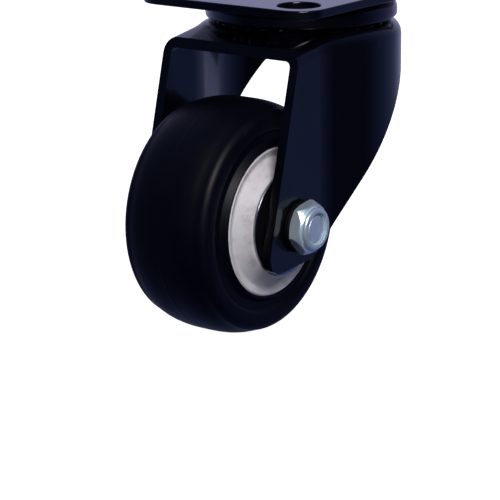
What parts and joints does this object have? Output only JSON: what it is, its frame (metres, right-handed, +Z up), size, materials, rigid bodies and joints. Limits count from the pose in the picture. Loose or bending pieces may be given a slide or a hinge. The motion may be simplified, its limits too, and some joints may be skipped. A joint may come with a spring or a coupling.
{
  "type": "swivel plate caster",
  "caption": "Swivel caster: rectangular bolt-on top plate, ball-race swivel head, pressed steel fork and a wide soft-tread wheel on a bolted axle.",
  "frame": {"origin": "on the swivel axis, in the top face of the mounting plate", "axes": "+Z up along the swivel axis, out of the mounting face; the wheel trails towards -X at rest; the axle lies along Y with its lock nut on the -Y side"},
  "size_m": [0.0798, 0.0451, 0.07],
  "materials": {
    "black_paint": "gloss black electro-coat paint with a slight orange peel",
    "black_steel": "satin black oxide",
    "ball_steel": "polished hardened steel with a film of grease",
    "zinc_plate": "bright blue-white zinc plate",
    "ring_steel": "ground bearing steel",
    "black_tyre": "smooth moulded polyurethane, satin, with a faint mould line",
    "white_hub": "white moulded nylon, low gloss",
    "seal_rubber": "matt black nitrile",
    "nylon": "translucent white nylon",
    "cage_brass": "pressed brass cage with steel balls"
  },
  "bodies": {
    "plate_head": {"mounting_plate": "black_paint", "upper_raceway": "black_paint", "king_pin": "black_steel", "lower_raceway": "black_paint"},
    "upper_ball_set": {"upper_ball_01": "ball_steel", "upper_ball_02": "ball_steel", "upper_ball_03": "ball_steel", "upper_ball_04": "ball_steel", "upper_ball_05": "ball_steel", "upper_ball_06": "ball_steel", "upper_ball_07": "ball_steel", "upper_ball_08": "ball_steel", "upper_ball_09": "ball_steel", "upper_ball_10": "ball_steel", "upper_ball_11": "ball_steel", "upper_ball_12": "ball_steel", "upper_ball_13": "ball_steel", "upper_ball_14": "ball_steel", "upper_ball_15": "ball_steel", "upper_ball_16": "ball_steel", "upper_ball_17": "ball_steel", "upper_ball_18": "ball_steel", "upper_ball_19": "ball_steel", "upper_ball_20": "ball_steel", "upper_ball_21": "ball_steel", "upper_ball_22": "ball_steel", "upper_ball_23": "ball_steel", "upper_ball_24": "ball_steel"},
    "lower_ball_set": {"lower_ball_01": "ball_steel", "lower_ball_02": "ball_steel", "lower_ball_03": "ball_steel", "lower_ball_04": "ball_steel", "lower_ball_05": "ball_steel", "lower_ball_06": "ball_steel", "lower_ball_07": "ball_steel", "lower_ball_08": "ball_steel", "lower_ball_09": "ball_steel", "lower_ball_10": "ball_steel", "lower_ball_11": "ball_steel"},
    "fork_assembly": {"fork": "black_paint", "axle_bolt": "zinc_plate", "lock_nut": "zinc_plate", "nut_insert": "nylon", "nut_washer": "black_steel", "bolt_washer": "black_steel", "axle_sleeve": "ring_steel", "nut_side_spacer": "ring_steel", "head_side_spacer": "ring_steel", "nut_side_bearing_inner_ring": "ring_steel", "head_side_bearing_inner_ring": "ring_steel"},
    "wheel": {"wheel_hub": "white_hub", "tyre": "black_tyre", "nut_side_bearing_outer_ring": "ring_steel", "nut_side_bearing_outer_seal": "seal_rubber", "nut_side_bearing_inner_seal": "seal_rubber", "head_side_bearing_outer_ring": "ring_steel", "head_side_bearing_outer_seal": "seal_rubber", "head_side_bearing_inner_seal": "seal_rubber"},
    "nut_side_cage": {"nut_side_bearing_cage_and_balls": "cage_brass"},
    "head_side_cage": {"head_side_bearing_cage_and_balls": "cage_brass"}
  },
  "joints": [
    {"name": "swivel", "type": "hinge", "parent": "plate_head", "child": "fork_assembly", "pos_m": [0, 0, -0.008], "axis": [0, 0, 1], "continuous": true},
    {"name": "wheel_spin", "type": "hinge", "parent": "fork_assembly", "child": "wheel", "pos_m": [-0.0255, 0, -0.0452], "axis": [0, 1, 0], "continuous": true},
    {"name": "upper_ball_orbit", "type": "hinge", "parent": "plate_head", "child": "upper_ball_set", "pos_m": [0, 0, -0.005], "axis": [0, 0, 1], "continuous": true},
    {"name": "lower_ball_orbit", "type": "hinge", "parent": "plate_head", "child": "lower_ball_set", "pos_m": [0, 0, -0.0104], "axis": [0, 0, 1], "continuous": true},
    {"name": "nut_side_cage_orbit", "type": "hinge", "parent": "fork_assembly", "child": "nut_side_cage", "pos_m": [-0.0255, 0, -0.0452], "axis": [0, 1, 0], "continuous": true},
    {"name": "head_side_cage_orbit", "type": "hinge", "parent": "fork_assembly", "child": "head_side_cage", "pos_m": [-0.0255, 0, -0.0452], "axis": [0, 1, 0], "continuous": true}
  ],
  "couplings": [
    {"joint": "upper_ball_orbit", "follows": "swivel", "ratio": 0.5},
    {"joint": "lower_ball_orbit", "follows": "swivel", "ratio": 0.5},
    {"joint": "nut_side_cage_orbit", "follows": "wheel_spin", "ratio": 0.632},
    {"joint": "head_side_cage_orbit", "follows": "wheel_spin", "ratio": 0.632}
  ]
}
